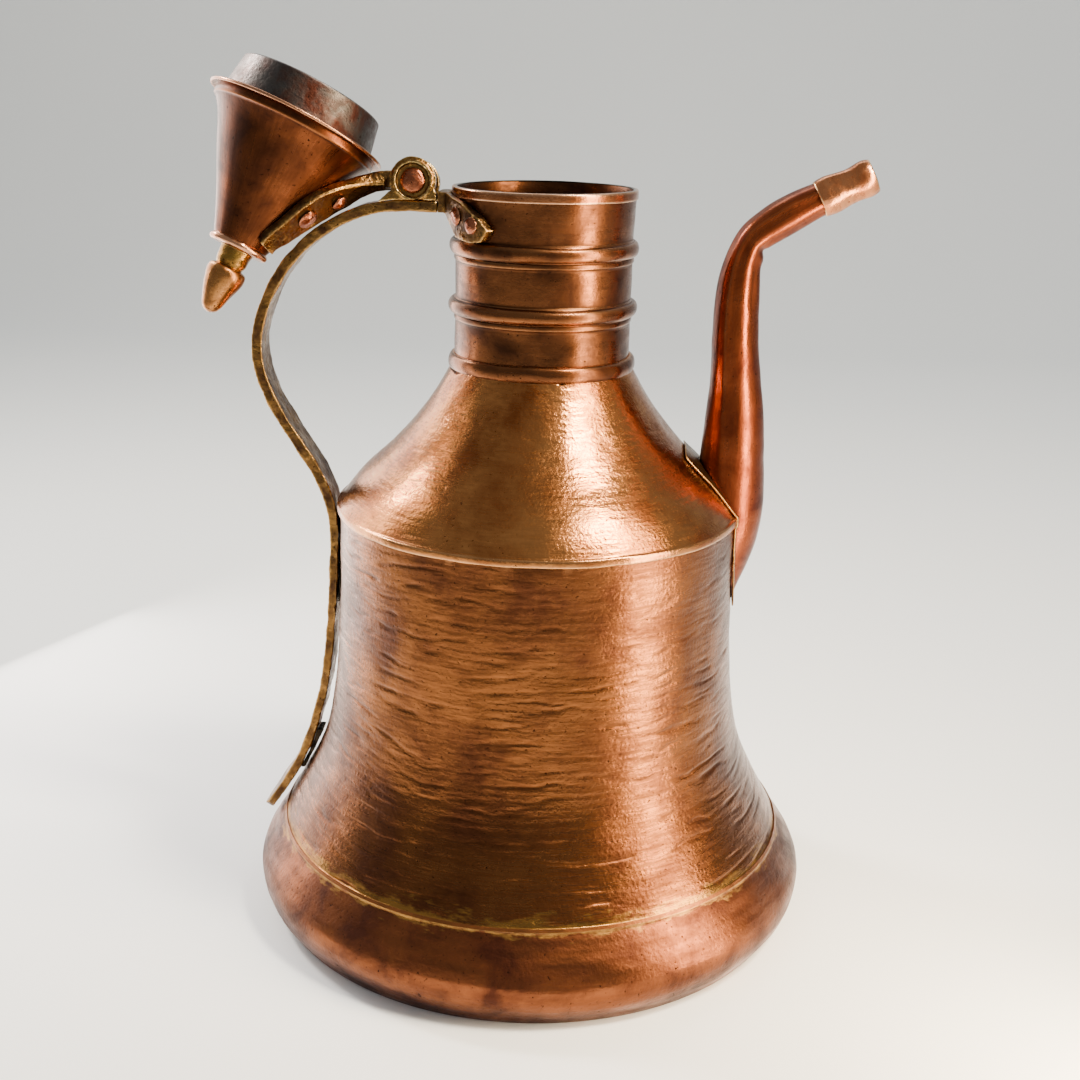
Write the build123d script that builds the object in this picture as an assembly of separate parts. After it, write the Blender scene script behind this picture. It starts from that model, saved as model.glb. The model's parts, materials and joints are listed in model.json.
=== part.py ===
from build123d import *
from math import atan2, cos, radians, sin
import os

# Copper ewer with a hinged, funnel-shaped lid.  Millimetres, +Z up.  The origin is the
# centre of the foot, on the surface that the ewer stands on.  The handle is on -X and
# the spout on +X.  The lid is drawn shut and then swung open to its resting place.

# Driving dimensions -----------------------------------------------------------------
SHEET = 1.4                  # raised copper sheet
FOOT_R = 130.0               # flat of the base
HEEL_R = 140.0               # widest part of the base
HEEL_Z = 21.0
SEAM_Z = 45.0                # brazed seam between the base pan and the wall
WAIST_R = 96.9               # upper wall
SHOULDER_Z = 208.3           # crisp edge between the wall and the shoulder
LIP_DROP = 3.8               # height of the shoulder's turned-down lip
LIP_R = WAIST_R + 1.0
NECK_R = 41.6
NECK_BORE_R = 40.4
NECK_FOOT_Z = 268.0
RIM_R = 43.2
RIM_Z = 358.0
BEAD_ZS = (303.5, 331.0)     # the two swaged rings round the neck
BEAD_RS = (45.0, 44.5)
BEAD_HALF = 3.7

PIN_X = -60.5                # hinge pin, from the ewer's axis
PIN_Z = 358.6
PIN_R = 3.5
PIN_PLAY = 0.05
PIN_TILT = 8.0               # the pin runs downhill to the back by this much
LID_OPEN = 156.0             # swing from shut to lying back on the handle
KNUCKLE_W = 8.4              # the lid's knuckle, between the cheeks
CHEEK_W = 4.5
SIDE_PLAY = 0.3
EYE_R = 10.8                 # round end of each hinge cheek
BOSS_R = 9.2                 # raised ring round the pin's sink
BOSS_H = 0.7
SINK_R = 7.8
SINK_DEPTH = 1.6
PIN_HEAD_R = 6.0
PIN_HEAD_H = 2.9
KNUCKLE_R = 8.6

STRAP_W = 18.0               # handle strap
STRAP_T = 5.4                # its thickness round the grip
TAIL_T = 4.6                 # its thickness down the wall

LID_SEAT = RIM_Z + 0.3
FLANGE_R = 43.0
SKIRT_R = 36.5
SKIRT_FOOT_R = 33.9           # the skirt draws in to this
SKIRT_H = 16.6
LID_SHEET = 1.2
LID_BASE_R = 39.6
LID_TIP_R = 13.0
LID_TIP_Z = 421.0

COLLAR_R = 8.9               # sleeve on the spout's tip
COLLAR_L = 26.3
SPOUT_MOUTH_R = 6.5
SPOUT_RISE = 25.9            # slope of the spout's last stretch, degrees
SPOUT_SHEET = 1.2


# Helpers ----------------------------------------------------------------------------
def at(x, z, y=0.0):
    return Vector(x, y, z)


def turned(*edges):
    """Revolve a closed outline, drawn in the XZ plane, about the ewer's axis."""
    return revolve(make_face(Wire(edges)), Axis.Z, 360)


def rod(radius, length):
    """A cylinder that stands on the origin."""
    return Cylinder(radius, length, align=(Align.CENTER, Align.CENTER, Align.MIN))


def ring(r_in, r_out, z_low, z_high):
    """A plain ring about the ewer's axis."""
    blank = Pos(0, 0, z_low) * rod(r_out, z_high - z_low)
    return blank - Pos(0, 0, z_low - 1) * rod(r_in, z_high - z_low + 2)


def biggest(shape):
    """The largest solid of a shape that a cut has left in pieces."""
    return shape.solids().sort_by(SortBy.VOLUME)[-1]


def beside(curve, gap, steps):
    """A curve that keeps a distance from another, on the side of the ewer's axis."""
    points = []
    for i in range(steps + 1):
        t = i / steps
        along = curve.tangent_at(t)
        points.append(curve.position_at(t) + Vector(-along.Z, 0, along.X) * gap)
    return Spline(*points)


def sheet(curve, thickness, steps=14):
    """Revolve a sheet whose outside follows a curve that runs upwards."""
    inside = beside(curve, thickness, steps)
    return turned(
        curve,
        Line(curve.position_at(1), inside.position_at(1)),
        inside,
        Line(inside.position_at(0), curve.position_at(0)),
    )


def filled(curve):
    """The solid inside a curve of revolution."""
    low = curve.position_at(0)
    high = curve.position_at(1)
    return turned(
        curve,
        Line(high, at(0, high.Z)),
        Line(at(0, high.Z), at(0, low.Z)),
        Line(at(0, low.Z), low),
    )


def tube_loft(stations, shrink=0.0):
    """A bent, tapering tube: each station is (x, z, lean from upright, radius)."""
    rounds = []
    for x, z, lean, radius in stations:
        facing = Vector(sin(radians(lean)), 0, cos(radians(lean)))
        place = Plane(origin=(x, 0, z), x_dir=(0, 1, 0), z_dir=facing)
        rounds.append(place * Circle(radius - shrink))
    return loft(rounds)


def hinge_frame(shape):
    """Put a shape drawn about its own Y axis onto the tilted hinge pin."""
    return Pos(PIN_X, 0, PIN_Z) * Rot(-PIN_TILT, 0, 0) * shape


PIN_AXIS = Axis(
    (PIN_X, 0, PIN_Z),
    (0, cos(radians(PIN_TILT)), -sin(radians(PIN_TILT))),
)


def swung(shape):
    """Swing a lid piece from shut to open."""
    return shape.rotate(PIN_AXIS, -LID_OPEN)


def rivet(head_r, head_h, shank_r, length):
    """A domed rivet along +Z, its head's seat at the origin and its shank below."""
    head = split(scale(Sphere(head_r), (1, 1, head_h / head_r)), Plane.XY, keep=Keep.TOP)
    shank = Cylinder(shank_r, length, align=(Align.CENTER, Align.CENTER, Align.MAX))
    return head + shank


parts = {}

# Base pan, wall and shoulder --------------------------------------------------------
heel_curve = Spline(
    at(FOOT_R, 0),
    at(137.6, 9.5),
    at(HEEL_R, HEEL_Z),
    at(134.6, 33.0),
    at(126.9, SEAM_Z - 0.7),
    tangents=(Vector(0.95, 0, 0.4), Vector(-0.52, 0, 0.85)),
)
wall_curve = Spline(
    at(126.1, SEAM_Z + 0.7),
    at(114.8, 66.5),
    at(106.0, 87.4),
    at(100.7, 114.3),
    at(98.0, 145.6),
    at(WAIST_R, 178.0),
    at(WAIST_R, SHOULDER_Z - 2.0),
    tangents=(Vector(-0.52, 0, 0.85), Vector(0, 0, 1)),
)
shoulder_curve = Spline(
    at(WAIST_R + 0.5, SHOULDER_Z),
    at(87.2, 221.0),
    at(73.6, 234.1),
    at(61.9, 247.1),
    at(52.2, 260.2),
    at(43.9, 274.5),
    tangents=(Vector(-0.66, 0, 0.75), Vector(-0.42, 0, 0.91)),
)

parts["base_pan"] = sheet(heel_curve, SHEET, 10) + rod(FOOT_R, SHEET)

seam_low = heel_curve.position_at(1)
seam_high = wall_curve.position_at(0)
seam_in = Vector(-0.85, 0, -0.52) * SHEET  # square to the sheet at the seam
parts["base_seam_braze"] = turned(
    Line(seam_low, seam_high),
    Line(seam_high, seam_high + seam_in),
    Line(seam_high + seam_in, seam_low + seam_in),
    Line(seam_low + seam_in, seam_low),
) - parts["base_pan"]

body_shell = sheet(wall_curve, SHEET, 16)
parts["base_seam_braze"] = parts["base_seam_braze"] - body_shell
parts["body_shell"] = body_shell

lip = ring(WAIST_R, LIP_R, SHOULDER_Z - LIP_DROP, SHOULDER_Z)
shoulder = sheet(shoulder_curve, SHEET, 14)
shoulder = shoulder + lip

ewer_envelope = filled(wall_curve) + filled(shoulder_curve)
ewer_envelope = ewer_envelope + Pos(0, 0, SHOULDER_Z - LIP_DROP) * rod(LIP_R, LIP_DROP)

# Neck -------------------------------------------------------------------------------
def bead_arc(z, r, start_r, half):
    return ThreePointArc(at(start_r, z - half), at(r, z), at(start_r, z + half))


low_z, high_z = BEAD_ZS
low_r, high_r = BEAD_RS
wall_t = NECK_R - NECK_BORE_R
ridge = 1.4                   # half height of the fine ridge under each ring
ridge_r = NECK_R + 0.7
inner_half = BEAD_HALF - 0.9  # half height of a ring's hollow, inside the neck
hem_bed_r = 42.5              # the neck flares to this under its hem
hem_drop = 4.8
hem_lap = 0.6                 # the hem folds over the mouth by this
low_start = low_z - BEAD_HALF
high_start = high_z - BEAD_HALF
neck_outline = [
    Line(at(NECK_R, NECK_FOOT_Z), at(NECK_R, low_start - 2 * ridge)),
    bead_arc(low_start - ridge, ridge_r, NECK_R, ridge),
    bead_arc(low_z, low_r, NECK_R, BEAD_HALF),
    Line(at(NECK_R, low_z + BEAD_HALF), at(NECK_R, high_start - 2 * ridge)),
    bead_arc(high_start - ridge, ridge_r, NECK_R, ridge),
    bead_arc(high_z, high_r, NECK_R, BEAD_HALF),
    Line(at(NECK_R, high_z + BEAD_HALF), at(hem_bed_r, RIM_Z - hem_drop)),
    Line(at(hem_bed_r, RIM_Z - hem_drop), at(hem_bed_r, RIM_Z - hem_lap)),
    Line(at(hem_bed_r, RIM_Z - hem_lap), at(NECK_BORE_R, RIM_Z - hem_lap)),
    Line(at(NECK_BORE_R, RIM_Z - hem_lap), at(NECK_BORE_R, high_z + inner_half)),
    ThreePointArc(
        at(NECK_BORE_R, high_z + inner_half),
        at(high_r - wall_t, high_z),
        at(NECK_BORE_R, high_z - inner_half),
    ),
    Line(at(NECK_BORE_R, high_z - inner_half), at(NECK_BORE_R, low_z + inner_half)),
    ThreePointArc(
        at(NECK_BORE_R, low_z + inner_half),
        at(low_r - wall_t, low_z),
        at(NECK_BORE_R, low_z - inner_half),
    ),
    Line(at(NECK_BORE_R, low_z - inner_half), at(NECK_BORE_R, NECK_FOOT_Z)),
    Line(at(NECK_BORE_R, NECK_FOOT_Z), at(NECK_R, NECK_FOOT_Z)),
]
neck_tube = turned(*neck_outline)
neck_filled = neck_tube + Pos(0, 0, NECK_FOOT_Z) * rod(NECK_BORE_R + 0.1, RIM_Z - NECK_FOOT_Z)
parts["neck_tube"] = neck_tube
shoulder = shoulder - Pos(0, 0, NECK_FOOT_Z - 5) * rod(NECK_R, 30)

hem_band = ring(hem_bed_r, RIM_R, RIM_Z - hem_drop + 0.2, RIM_Z)
parts["rim_hem"] = hem_band + ring(NECK_BORE_R, hem_bed_r + 0.1, RIM_Z - hem_lap, RIM_Z)

collar_z = 277.3              # half-round ring that covers the foot of the neck
collar_low = at(NECK_R, collar_z - 4.2)
collar_high = at(NECK_R, collar_z + 4.2)
collar = turned(
    Line(collar_low, collar_high),
    ThreePointArc(collar_high, at(NECK_R + 3.0, collar_z), collar_low),
)
parts["neck_collar"] = collar - shoulder

# Spout ------------------------------------------------------------------------------
SPOUT_STATIONS = [
    (90.5, 156, 0, 5.0),
    (91.0, 172, 0, 9.8),
    (91.8, 190, 0, 15.2),
    (92.8, 210, 0, 17.2),
    (93.2, 230, 0, 16.2),
    (93.2, 248, 0, 14.8),
    (92.6, 268, -2, 12.7),
    (91.4, 290, -1, 11.5),
    (91.0, 308, 2, 10.4),
    (91.6, 320, 7, 9.5),
    (93.6, 330.5, 22, 8.4),
    (97.4, 337.6, 42, 8.3),
    (104.4, 343.4, 58, 8.7),
    (114.0, 349.4, 63, 8.6),
    (124.0, 354.9, 64, 7.8),
    (134.0, 359.8, 64.1, 7.6),
]
spout_outer = tube_loft(SPOUT_STATIONS)
spout_bore = tube_loft(SPOUT_STATIONS, SPOUT_SHEET)
spout_tube = spout_outer - ewer_envelope - spout_bore
parts["spout_tube"] = biggest(spout_tube)

collar_start = at(125.6, 355.7)
collar_axis = Vector(cos(radians(SPOUT_RISE)), 0, sin(radians(SPOUT_RISE)))
collar_plane = Plane(origin=collar_start, x_dir=(0, 1, 0), z_dir=collar_axis)
tip_blank = loft(
    [
        collar_plane * Circle(COLLAR_R),
        collar_plane.offset(COLLAR_L * 0.5) * Circle(COLLAR_R - 0.3),
        collar_plane.offset(COLLAR_L) * Circle(COLLAR_R - 0.7),
    ]
)
tip_bore = extrude(collar_plane.offset(-3) * Circle(SPOUT_MOUTH_R), COLLAR_L + 4)
parts["spout_tip_collar"] = biggest(tip_blank - spout_outer - tip_bore)

# A saddle plate, soldered round the spout's root, over the shoulder's edge.
SADDLE_SHEET = 1.0
saddle_skin = sheet(shoulder_curve, -SADDLE_SHEET) + sheet(wall_curve, -SADDLE_SHEET)
saddle_skin = saddle_skin + ring(LIP_R, LIP_R + 0.8, SHOULDER_Z - LIP_DROP - 1, SHOULDER_Z + 0.6)
saddle_half = [(0, 158), (10, 168), (17, 184), (20.5, 205), (20.5, 222), (17, 235), (0, 243)]
saddle_edge = [Vector(70, y, z) for y, z in saddle_half]
saddle_back = [Vector(70, -y, z) for y, z in reversed(saddle_half[:-1])]
saddle_face = make_face(Spline(*(saddle_edge + saddle_back[:-1]), periodic=True))
saddle_prism = extrude(saddle_face, amount=60, dir=(1, 0, 0))
saddle = (saddle_skin & saddle_prism) - ewer_envelope - spout_outer
parts["spout_saddle"] = biggest(saddle)

# The way from the ewer into the spout, through the shoulder.
SPOUT_PORT_R = 10.0
spout_port = Pos(60, 0, 221) * Rot(0, 90, 0) * rod(SPOUT_PORT_R, 50)
parts["shoulder_cone"] = shoulder - spout_port

# Handle -----------------------------------------------------------------------------
handle_line = Spline(
    at(-49, 348.2),
    at(-64, 348.3),
    at(-79, 346.6),
    at(-93, 341.6),
    at(-107, 333.0),
    at(-120, 320.0),
    at(-130.4, 302.0),
    at(-135.4, 281.0),
    at(-133.0, 265.0),
    at(-125.0, 247.2),
    at(-112.6, 227.6),
    at(-103.6, 210.5),
    at(-100.2, 196.0),
    at(-100.0, 180.0),
    at(-101.3, 155.0),
    at(-103.6, 128.0),
    at(-106.6, 107.0),
    at(-111.6, 88.0),
    at(-119.8, 66.0),
    at(-127.2, 53.0),
    at(-138.0, 36.5),
)
FREE = 0.5                    # share of the strap's length that is the grip
THINS_OVER = 0.1              # and the share over which it thins to the tail


def strap_face(curve, steps=60):
    """The strap seen from the side: the grip is thicker than the tail."""
    outer = []
    inner = []
    for i in range(steps + 1):
        t = i / steps
        thinned = min(1.0, max(0.0, (t - FREE) / THINS_OVER))
        half = (STRAP_T + (TAIL_T - STRAP_T) * thinned) / 2
        along = curve.tangent_at(t)
        across = Vector(-along.Z, 0, along.X) * half
        outer.append(curve.position_at(t) + across)
        inner.append(curve.position_at(t) - across)
    sides = [Spline(*outer), Spline(*inner)]
    ends = [Line(outer[0], inner[0]), Line(outer[-1], inner[-1])]
    return make_face(Wire([*sides, *ends]))


strap = extrude(strap_face(handle_line), amount=STRAP_W / 2, both=True)
tail_edges = strap.edges().filter_by(lambda e: e.center().Z < 45 and e.length < 6)
strap = fillet(tail_edges, STRAP_W * 0.42)
strap_and_air = extrude(strap_face(handle_line), amount=STRAP_W, both=True)

# The strap is filed hollow under the lid's knuckle.
strap = strap - hinge_frame(Rot(90, 0, 0) * Cylinder(KNUCKLE_R + 0.4, KNUCKLE_W + 2 * SIDE_PLAY))
parts["handle_strap"] = strap

# Solder between the strap and the wall, where they meet.
SOLDER_W = 11.0
for name, x, z, length, height in (
    ("handle_solder_upper", -90, 152, 24, 46),
    ("handle_solder_lower", -95, 60, 40, 22),
):
    block = Pos(x, 0, z) * Box(length, SOLDER_W, height, align=(Align.MAX, Align.CENTER, Align.MIN))
    parts[name] = (block - strap - ewer_envelope).solids().sort_by(Axis.X)[-1]

# Yoke: two leaves that hug the neck, brazed to the end of the strap -----------------
LEAF_TURN = 36.0              # middle of a leaf, round the neck from the handle
LEAF_T = 4.6
YOKE_RIVETS = ((33.0, 345.6, 4.4), (48.0, 342.6, 3.9))  # turn, height and head radius
RIVET_REACH = NECK_R + LEAF_T - 0.1


def leaf_prism(side, grow):
    """The outline of one leaf, seen square-on and pushed through to the neck."""
    outline = [
        (-25.0 - grow, 355.2),
        (-12.0, 354.4 + grow),
        (1.5, 352.2 + grow),
        (13.5 + grow, 346.0 + grow),
        (18.0 + grow, 341.0),
        (15.0 + grow, 335.6 - grow),
        (8.0, 334.6 - grow),
        (-3.0, 336.4 - grow),
        (-12.0, 342.5 - grow),
        (-25.0 - grow, 345.4),
    ]
    turn = radians(180 + side * LEAF_TURN)
    facing = Vector(cos(turn), sin(turn), 0)
    across = Vector(-sin(turn), cos(turn), 0) * side
    points = [facing * 28 + across * u + Vector(0, 0, z) for u, z in outline]
    face = make_face(Spline(*points, periodic=True) if grow else Polyline(*points, close=True))
    return extrude(face, amount=34, dir=facing)


yoke = None
for side in (1, -1):
    shell = ring(NECK_R, NECK_R + LEAF_T, 330, 357)
    leaf = (shell & leaf_prism(side, 0)) - neck_filled
    yoke = biggest(leaf) if yoke is None else yoke + biggest(leaf)
root = Pos(-49, 0, 345.5) * Box(9, STRAP_W, 9.7, align=(Align.MIN, Align.CENTER, Align.MIN))
yoke = (yoke + root) - strap - neck_filled - ring(RIM_R - 0.8, RIM_R + 0.2, RIM_Z - hem_drop + 0.2, RIM_Z)
parts["neck_yoke"] = yoke

rivets = []
for side in (1, -1):
    for turn_deg, z, head in YOKE_RIVETS:
        turn = radians(180 + side * turn_deg)
        facing = Vector(cos(turn), sin(turn), 0)
        seat = facing * RIVET_REACH + Vector(0, 0, z)
        place = Plane(origin=seat, x_dir=(0, 0, 1), z_dir=facing).location
        rivets.append(place * rivet(head, 1.7, 2.2, RIVET_REACH - NECK_BORE_R - 0.05))
parts["yoke_rivets"] = Compound(children=rivets)
for one in rivets:
    parts["neck_yoke"] = parts["neck_yoke"] - one
    parts["neck_tube"] = parts["neck_tube"] - one

# Hinge ------------------------------------------------------------------------------
def cheek(side):
    """One ear of the hinge: a round eye on a block that stands on the strap."""
    inner_face = KNUCKLE_W / 2 + SIDE_PLAY
    block = Polyline(
        (-17.5, 0, -14.5),
        (-16.8, 0, -11.0),
        (-11.0, 0, -5.0),
        (9.6, 0, -2.0),
        (11.2, 0, -7.5),
        (11.2, 0, -14.5),
        close=True,
    )
    plate = extrude(make_face(block), amount=CHEEK_W, dir=(0, 1, 0))
    plate = plate + Rot(-90, 0, 0) * rod(EYE_R, CHEEK_W)
    plate = plate + Pos(0, CHEEK_W, 0) * Rot(-90, 0, 0) * rod(BOSS_R, BOSS_H)
    plate = plate - Pos(0, CHEEK_W - SINK_DEPTH, 0) * Rot(-90, 0, 0) * rod(SINK_R, SINK_DEPTH + BOSS_H + 1)
    plate = plate - Rot(90, 0, 0) * Cylinder(PIN_R, 40)
    plate = Pos(0, inner_face, 0) * plate
    return plate if side > 0 else mirror(plate, Plane.XZ)


for side, name in ((-1, "hinge_cheek_front"), (1, "hinge_cheek_rear")):
    ear = hinge_frame(cheek(side)) - strap_and_air - parts["neck_yoke"]
    parts[name] = ear.solids().sort_by(Axis.Z)[-1]

head_seat = KNUCKLE_W / 2 + SIDE_PLAY + CHEEK_W - SINK_DEPTH
pin = Rot(90, 0, 0) * Cylinder(PIN_R, 2 * head_seat)
for side in (1, -1):
    dome = scale(Sphere(PIN_HEAD_R), (1, 1, PIN_HEAD_H / PIN_HEAD_R))
    dome = split(dome, Plane.XY, keep=Keep.TOP)
    pin = pin + Pos(0, side * head_seat, 0) * Rot(-90 * side, 0, 0) * dome
parts["hinge_pin"] = hinge_frame(pin)

# Lid, drawn shut --------------------------------------------------------------------
flange_top = LID_SEAT + LID_SHEET
WIRE_R = 0.9                  # the flange's edge is rolled over a wire
wire_mid = FLANGE_R - WIRE_R
wire_top = LID_SEAT + 2 * WIRE_R
flange_in = SKIRT_R - LID_SHEET
lid = {}
lid["lid_flange"] = turned(
    Line(at(flange_in, LID_SEAT), at(wire_mid, LID_SEAT)),
    ThreePointArc(at(wire_mid, LID_SEAT), at(FLANGE_R, LID_SEAT + WIRE_R), at(wire_mid, wire_top)),
    Line(at(wire_mid, wire_top), at(wire_mid - WIRE_R, flange_top)),
    Line(at(wire_mid - WIRE_R, flange_top), at(flange_in, flange_top)),
    Line(at(flange_in, flange_top), at(flange_in, LID_SEAT)),
)

skirt_foot = LID_SEAT - SKIRT_H
foot_in = at(SKIRT_FOOT_R - LID_SHEET, skirt_foot + 0.5)
foot_out = at(SKIRT_FOOT_R, skirt_foot + 0.5)
lid["lid_skirt"] = turned(
    Line(at(flange_in, LID_SEAT), foot_in),
    ThreePointArc(foot_in, at(SKIRT_FOOT_R - LID_SHEET / 2, skirt_foot), foot_out),
    Line(foot_out, at(SKIRT_R, LID_SEAT)),
    Line(at(SKIRT_R, LID_SEAT), at(flange_in, LID_SEAT)),
)

DRUM_H = 4.2                  # upright band between the flange and the cone
cone_curve = Spline(
    at(38.5, flange_top + DRUM_H),
    at(35.6, 368.0),
    at(30.0, 380.0),
    at(23.2, 395.0),
    at(16.9, 409.5),
    at(LID_TIP_R, LID_TIP_Z - 1.5),
)
drum = ring(LID_BASE_R - LID_SHEET, LID_BASE_R, flange_top, flange_top + DRUM_H)
lid["lid_cone"] = sheet(cone_curve, LID_SHEET, 12) + drum
lid_cone_filled = filled(cone_curve) + Pos(0, 0, flange_top) * rod(LID_BASE_R, DRUM_H)

tip_z = LID_TIP_Z - 1.5       # a rolled hem closes the cone's small end
TANG_R = 2.5
hem_in = LID_TIP_R - 2.2
hem_top = tip_z + 3.6
lid["lid_tip_cap"] = turned(
    Line(at(hem_in, tip_z), at(LID_TIP_R, tip_z)),
    ThreePointArc(at(LID_TIP_R, tip_z), at(LID_TIP_R + 1.2, tip_z + 2.0), at(LID_TIP_R - 0.4, hem_top)),
    Line(at(LID_TIP_R - 0.4, hem_top), at(TANG_R, hem_top)),
    Line(at(TANG_R, hem_top), at(TANG_R, tip_z + 2.2)),
    Line(at(TANG_R, tip_z + 2.2), at(hem_in, tip_z + 2.2)),
    Line(at(hem_in, tip_z + 2.2), at(hem_in, tip_z)),
)

FERRULE_H = 8.6
acorn_z = hem_top + FERRULE_H
lid["finial_neck"] = turned(
    Line(at(TANG_R, hem_top), at(7.9, hem_top)),
    Spline(at(7.9, hem_top), at(7.3, hem_top + 3.0), at(7.0, hem_top + 6.0), at(6.2, acorn_z)),
    Line(at(6.2, acorn_z), at(TANG_R, acorn_z)),
    Line(at(TANG_R, acorn_z), at(TANG_R, hem_top)),
)
TANG_TOP = acorn_z + 6.0
acorn_tip = at(0, acorn_z + 23.0)
lid["finial_acorn"] = turned(
    Line(at(0, TANG_TOP), at(TANG_R, TANG_TOP)),
    Line(at(TANG_R, TANG_TOP), at(TANG_R, acorn_z)),
    Line(at(TANG_R, acorn_z), at(6.4, acorn_z)),
    Spline(
        at(6.4, acorn_z),
        at(8.6, acorn_z + 0.9),
        at(9.4, acorn_z + 3.2),
        at(8.9, acorn_z + 7.0),
        at(7.3, acorn_z + 12.5),
        at(5.3, acorn_z + 18.0),
        at(3.3, acorn_z + 21.6),
        at(1.2, acorn_z + 22.8),
    ),
    Line(at(1.2, acorn_z + 22.8), acorn_tip),
    Line(acorn_tip, at(0, TANG_TOP)),
)
lid["finial_tang"] = Pos(0, 0, tip_z) * (rod(TANG_R, TANG_TOP - tip_z) + rod(4.2, 2.2))

# The lid's strap leaves the knuckle, twists a little and lies along the cone.
knuckle = Rot(90, 0, 0) * Cylinder(KNUCKLE_R, KNUCKLE_W)
knuckle = hinge_frame(knuckle)
STRAP_STATIONS = [            # x, y, z, thickness, width, turn round the lid's axis
    (-55.0, 0.0, 361.4, 8.0, 8.0, 0),
    (-48.0, 0.0, 364.2, 7.6, 8.0, 0),
    (-41.6, -1.2, 369.4, 6.6, 9.4, 4),
    (-35.6, -4.2, 377.0, 5.4, 13.4, 10),
    (-29.0, -8.2, 386.4, 5.0, 16.6, 16),
    (-23.6, -9.8, 396.0, 4.8, 16.0, 22),
    (-18.2, -9.9, 406.4, 4.6, 13.0, 29),
    (-13.4, -9.2, 417.0, 4.4, 9.4, 35),
]
spots = [Vector(s[0], s[1], s[2]) for s in STRAP_STATIONS]
strap_rounds = []
for i, (x, y, z, thick, wide, turn) in enumerate(STRAP_STATIONS):
    ahead = spots[min(i + 1, len(spots) - 1)] - spots[max(i - 1, 0)]
    outward = Vector(-cos(radians(turn)), -sin(radians(turn)), 0)
    side_dir = ahead.cross(outward).normalized()
    place = Plane(origin=(x, y, z), x_dir=side_dir, z_dir=ahead.normalized())
    strap_rounds.append(place * RectangleRounded(wide, thick, 1.2))
lid_strap = loft(strap_rounds)
lid_strap = lid_strap + knuckle
lid_strap = lid_strap - lid_cone_filled - Pos(0, 0, LID_SEAT - 1) * rod(FLANGE_R + 0.6, 3.4)
lid_strap = lid_strap - hinge_frame(Rot(90, 0, 0) * Cylinder(PIN_R + PIN_PLAY, 40))
CHEEK_ROOM_R = EYE_R + 2.4    # the strap is narrowed to the knuckle's width inside this
for side in (1, -1):
    room = Rot(90, 0, 0) * Cylinder(CHEEK_ROOM_R, 12)
    lid_strap = lid_strap - hinge_frame(Pos(0, side * (KNUCKLE_W / 2 + 6), 0) * room)
lid_strap = biggest(lid_strap)

LID_RIVETS = (                # x, y, z, turn round the lid's axis, head radius
    (-34.6, -6.6, 383.6, 12, 3.9),
    (-25.6, -10.6, 397.0, 22, 5.0),
)
slope = atan2(0.45, 1.0)      # the cone's side leans in by this
lid_rivets = []
for x, y, z, turn, head in LID_RIVETS:
    facing = Vector(
        -cos(radians(turn)) * cos(slope),
        -sin(radians(turn)) * cos(slope),
        sin(slope),
    )
    place = Plane(origin=(x, y, z), x_dir=(0, 0, 1), z_dir=facing).location
    lid_rivets.append(place * rivet(head, 2.2, 2.3, 8.5))
for one in lid_rivets:
    lid_strap = lid_strap - one
    lid["lid_cone"] = lid["lid_cone"] - one
lid["lid_strap"] = lid_strap
lid["lid_rivets"] = Compound(children=lid_rivets)

for name, shape in lid.items():
    parts[name] = swung(shape)

# Output -----------------------------------------------------------------------------
os.makedirs("parts", exist_ok=True)
for name, shape in parts.items():
    export_step(shape, f"parts/{name}.step")
    print(name, round(shape.volume), [round(v, 1) for v in shape.bounding_box().size])
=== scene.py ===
import json
from math import cos, pi, radians, sin, tau

import bmesh
import bpy
import numpy as np
from mathutils import Matrix, Quaternion, Vector, noise


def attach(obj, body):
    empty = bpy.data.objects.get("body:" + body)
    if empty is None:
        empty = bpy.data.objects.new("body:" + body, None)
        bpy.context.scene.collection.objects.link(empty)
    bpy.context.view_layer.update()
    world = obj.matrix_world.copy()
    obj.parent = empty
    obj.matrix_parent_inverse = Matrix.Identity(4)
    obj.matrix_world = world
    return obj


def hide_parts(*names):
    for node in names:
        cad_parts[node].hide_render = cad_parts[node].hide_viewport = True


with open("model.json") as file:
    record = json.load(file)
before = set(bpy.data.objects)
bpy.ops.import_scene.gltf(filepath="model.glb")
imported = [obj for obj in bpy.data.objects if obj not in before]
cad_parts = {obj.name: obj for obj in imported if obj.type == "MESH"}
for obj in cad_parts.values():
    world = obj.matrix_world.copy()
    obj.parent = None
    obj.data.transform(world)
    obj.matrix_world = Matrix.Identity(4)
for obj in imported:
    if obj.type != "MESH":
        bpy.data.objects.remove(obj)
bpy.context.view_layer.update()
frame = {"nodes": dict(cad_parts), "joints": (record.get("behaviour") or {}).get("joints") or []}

# The set ------------------------------------------------------------------------------
# A roll of pale paper swept up behind the ewer, soft boxes standing round it and one
# overhead, and a camera a little above the rim.  The handle is on -X, the spout on +X.
def linear(hex_colour):
    """An sRGB hex colour as a linear RGBA value."""
    channels = [int(hex_colour[i : i + 2], 16) / 255 for i in (1, 3, 5)]
    return [c / 12.92 if c <= 0.04045 else ((c + 0.055) / 1.055) ** 2.4 for c in channels] + [1.0]


def add(tree, kind, inputs=(), stops=(), **settings):
    """Adds a node: settings are its own, inputs are values or links, stops are a ramp's."""
    node = tree.nodes.new("ShaderNode" + kind)
    for name, value in settings.items():
        setattr(node, name, value)
    for socket, value in dict(inputs).items():
        if isinstance(value, bpy.types.NodeSocket):
            tree.links.new(value, node.inputs[socket])
        else:
            node.inputs[socket].default_value = value
    if stops:
        ramp = node.color_ramp
        while len(ramp.elements) < len(stops):
            ramp.elements.new(0.5)
        for element, (place, shade) in zip(ramp.elements, stops):
            element.position = place
            element.color = linear(shade) if isinstance(shade, str) else [shade] * 3 + [1.0]
    return node


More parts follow.
